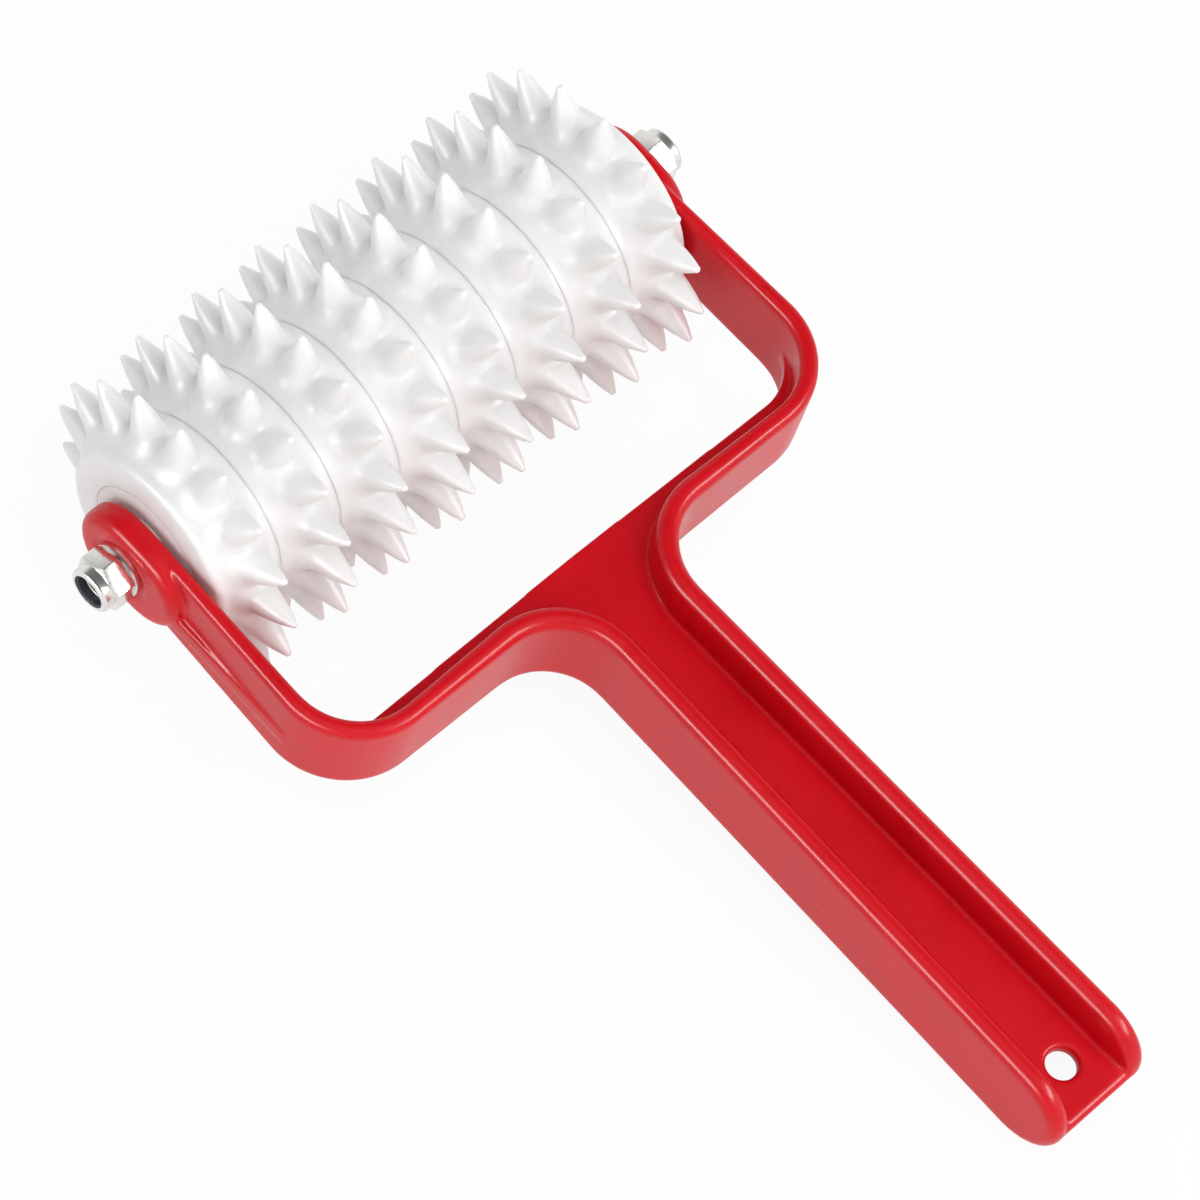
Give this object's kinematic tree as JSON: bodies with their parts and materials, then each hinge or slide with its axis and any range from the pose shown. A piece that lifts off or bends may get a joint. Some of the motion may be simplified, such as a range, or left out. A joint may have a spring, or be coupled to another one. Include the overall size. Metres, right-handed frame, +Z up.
{
  "type": "dough_docker",
  "caption": "Hand-held dough docker with a white roller of staggered blunt spikes and a red one-piece fork handle",
  "frame": {"origin": "On the table the tool rests on, under the middle of its bounding box", "axes": "+X along the axle, to the right when held by the grip; +Y from the butt of the grip to the roller; +Z up off the table"},
  "size_m": [0.144, 0.2156, 0.0616],
  "materials": {
    "red_plastic": "glossy",
    "white_plastic": "satin",
    "zinc_steel": "zinc plated",
    "nylon_insert": "satin",
    "slippery_plastic": "satin"
  },
  "bodies": {
    "handle": {"handle_frame": "red_plastic", "axle_rod": "zinc_steel", "left_thrust_washer": "slippery_plastic", "right_thrust_washer": "slippery_plastic", "left_plain_washer": "zinc_steel", "right_plain_washer": "zinc_steel", "left_lock_nut": "zinc_steel", "right_lock_nut": "zinc_steel", "left_nut_insert": "nylon_insert", "right_nut_insert": "nylon_insert"},
    "roller": {"roller_core": "white_plastic", "left_end_cap": "white_plastic", "right_end_cap": "white_plastic", "spike_ring_1": "white_plastic", "spike_ring_2": "white_plastic", "spike_ring_3": "white_plastic", "spike_ring_4": "white_plastic", "spike_ring_5": "white_plastic", "spike_ring_6": "white_plastic", "spike_ring_7": "white_plastic", "spike_ring_8": "white_plastic"}
  },
  "joints": [
    {"name": "roller_spin", "type": "hinge", "parent": "handle", "child": "roller", "pos_m": [0, 0.07687, 0.03064], "axis": [1, 0, 0], "continuous": true}
  ]
}
